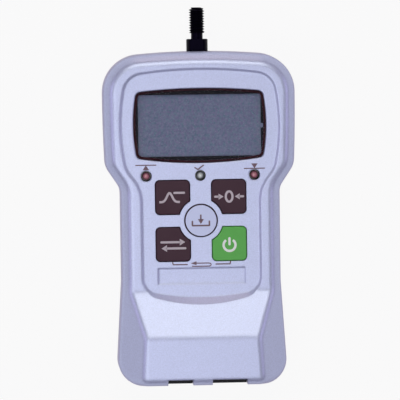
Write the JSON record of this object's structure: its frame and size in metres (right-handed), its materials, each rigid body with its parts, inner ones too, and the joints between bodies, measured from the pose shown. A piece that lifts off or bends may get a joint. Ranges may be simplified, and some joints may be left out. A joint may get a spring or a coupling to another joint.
{
  "type": "hand-held digital force gauge",
  "caption": "Hand-held digital force gauge: two-shell case with a narrow waist and raised foot, display, keypad, signal lamps and a threaded measuring shaft on an inner load cell.",
  "frame": {"origin": "centre of the rectangle of four rear mounting holes, on the rear face; the gauge lies on that face", "axes": "+X to the right of the display, +Y along the measuring shaft towards its tip, +Z out of the display"},
  "size_m": [0.075, 0.1468, 0.038],
  "materials": {
    "shell_paint": "fine-grained silver-lilac paint with a satin sheen",
    "key_light": "smooth moulded key in the colour of the case",
    "key_dark": "dark brown moulded key, satin",
    "key_green": "green moulded key, satin",
    "window_clear": "clear hard-coated pane",
    "gasket_maroon": "thin dark maroon seal",
    "bezel_black": "black moulded frame",
    "lcd_grey": "blank grey display glass",
    "diffuser_white": "white light guide",
    "elastomer_pink": "striped contact strip",
    "board_green": "green solder mask",
    "screw_steel": "zinc-plated screw",
    "switch_black": "black push switch",
    "lamp_red": "dull red lamp lens, unlit",
    "lamp_clear": "milky lamp lens, unlit",
    "spacer_black": "black tube",
    "connector_white": "natural nylon connector",
    "chip_black": "moulded package",
    "capacitor_sleeve": "dark blue sleeve",
    "socket_black": "black moulded socket",
    "plate_aluminium": "milled plate",
    "bush_brass": "turned brass bush",
    "cell_aluminium": "milled and anodised block",
    "foil_amber": "amber foil gauge",
    "stop_steel": "plated bracket",
    "shaft_black": "black oxide finish, lightly oiled",
    "battery_can": "plated can",
    "battery_sleeve": "blue shrink sleeve",
    "foam_grey": "thin foam",
    "lead_grey": "grey lead",
    "lead_red": "red lead"
  },
  "bodies": {
    "case": {"front_case": "shell_paint", "rear_case": "shell_paint", "case_screws": "screw_steel", "display_window": "window_clear", "window_gasket": "gasket_maroon", "lcd_bezel": "bezel_black", "lcd_glass": "lcd_grey", "lcd_backlight": "diffuser_white", "lcd_contacts": "elastomer_pink", "display_board": "board_green", "display_board_screws": "screw_steel", "key_switches": "switch_black", "limit_lamps": "lamp_red", "ok_lamp": "lamp_clear", "lamp_spacers": "spacer_black", "main_board": "board_green", "main_board_screws": "screw_steel", "board_link": "connector_white", "board_chips": "chip_black", "board_capacitors": "capacitor_sleeve", "power_socket": "socket_black", "data_socket": "socket_black", "chassis_plate": "plate_aluminium", "chassis_screws": "screw_steel", "mounting_bushes": "bush_brass", "load_cell_foot": "cell_aluminium", "load_cell": "cell_aluminium", "load_cell_screws": "screw_steel", "strain_gauges": "foil_amber", "overload_stop": "stop_steel", "stop_screws": "screw_steel", "battery_cells": "battery_can", "battery_wrap": "battery_sleeve", "battery_pad": "foam_grey", "lead_plugs": "connector_white", "load_cell_lead": "lead_grey", "battery_lead": "lead_red"},
    "shaft": {"measuring_shaft": "shaft_black", "shaft_nut": "shaft_black"},
    "key_peak": {"key_peak": "key_dark"},
    "key_zero": {"key_zero": "key_dark"},
    "key_unit": {"key_unit": "key_dark"},
    "key_power": {"key_power": "key_green"},
    "key_memory": {"key_memory": "key_light"}
  },
  "joints": [
    {"name": "shaft_slide", "type": "slide", "parent": "case", "child": "shaft", "axis": [0, 1, 0], "range_m": [-0.0004, 0.0004], "stiffness_N_per_m": 200000},
    {"name": "key_peak_press", "type": "slide", "parent": "case", "child": "key_peak", "axis": [0, 0, -1], "range_m": [0, 0.0005], "stiffness_N_per_m": 4000, "springref_m": -0.0003},
    {"name": "key_zero_press", "type": "slide", "parent": "case", "child": "key_zero", "axis": [0, 0, -1], "range_m": [0, 0.0005], "stiffness_N_per_m": 4000, "springref_m": -0.0003},
    {"name": "key_unit_press", "type": "slide", "parent": "case", "child": "key_unit", "axis": [0, 0, -1], "range_m": [0, 0.0005], "stiffness_N_per_m": 4000, "springref_m": -0.0003},
    {"name": "key_power_press", "type": "slide", "parent": "case", "child": "key_power", "axis": [0, 0, -1], "range_m": [0, 0.0005], "stiffness_N_per_m": 4000, "springref_m": -0.0003},
    {"name": "key_memory_press", "type": "slide", "parent": "case", "child": "key_memory", "axis": [0, 0, -1], "range_m": [0, 0.0005], "stiffness_N_per_m": 4000, "springref_m": -0.0003}
  ]
}
